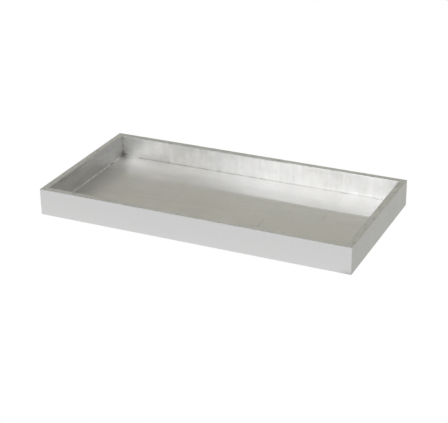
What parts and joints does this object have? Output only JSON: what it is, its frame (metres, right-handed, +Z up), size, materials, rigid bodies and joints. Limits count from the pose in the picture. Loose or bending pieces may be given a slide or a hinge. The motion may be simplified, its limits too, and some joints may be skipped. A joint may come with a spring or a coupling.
{
  "type": "rectangular display tray",
  "caption": "Shallow rectangular tray with straight mitred sides, a flat rim and a flat floor, in hand-laid silver leaf under clear lacquer, on small felt pads.",
  "frame": {"origin": "on the resting plane (the underside of the felt pads), under the centre of the tray's rectangle", "axes": "+X along the long side towards the right end, +Y from the front side to the back side, +Z up"},
  "size_m": [0.6096, 0.3048, 0.0516],
  "materials": {
    "silver_leaf": "satin",
    "fibreboard": "matte",
    "fibreboard_panel": "matte",
    "plywood": "matte",
    "steel": "satin",
    "felt": "matte"
  },
  "bodies": {
    "root": {"front_rail": "fibreboard", "back_rail": "fibreboard", "left_rail": "fibreboard", "right_rail": "fibreboard", "base_panel": "fibreboard_panel", "front_left_spline": "plywood", "front_right_spline": "plywood", "back_left_spline": "plywood", "back_right_spline": "plywood", "corner_brads": "steel", "front_leaf_skin": "silver_leaf", "back_leaf_skin": "silver_leaf", "left_leaf_skin": "silver_leaf", "right_leaf_skin": "silver_leaf", "floor_leaf_skin": "silver_leaf", "front_left_felt_pad": "felt", "front_right_felt_pad": "felt", "back_left_felt_pad": "felt", "back_right_felt_pad": "felt"}
  },
  "joints": []
}
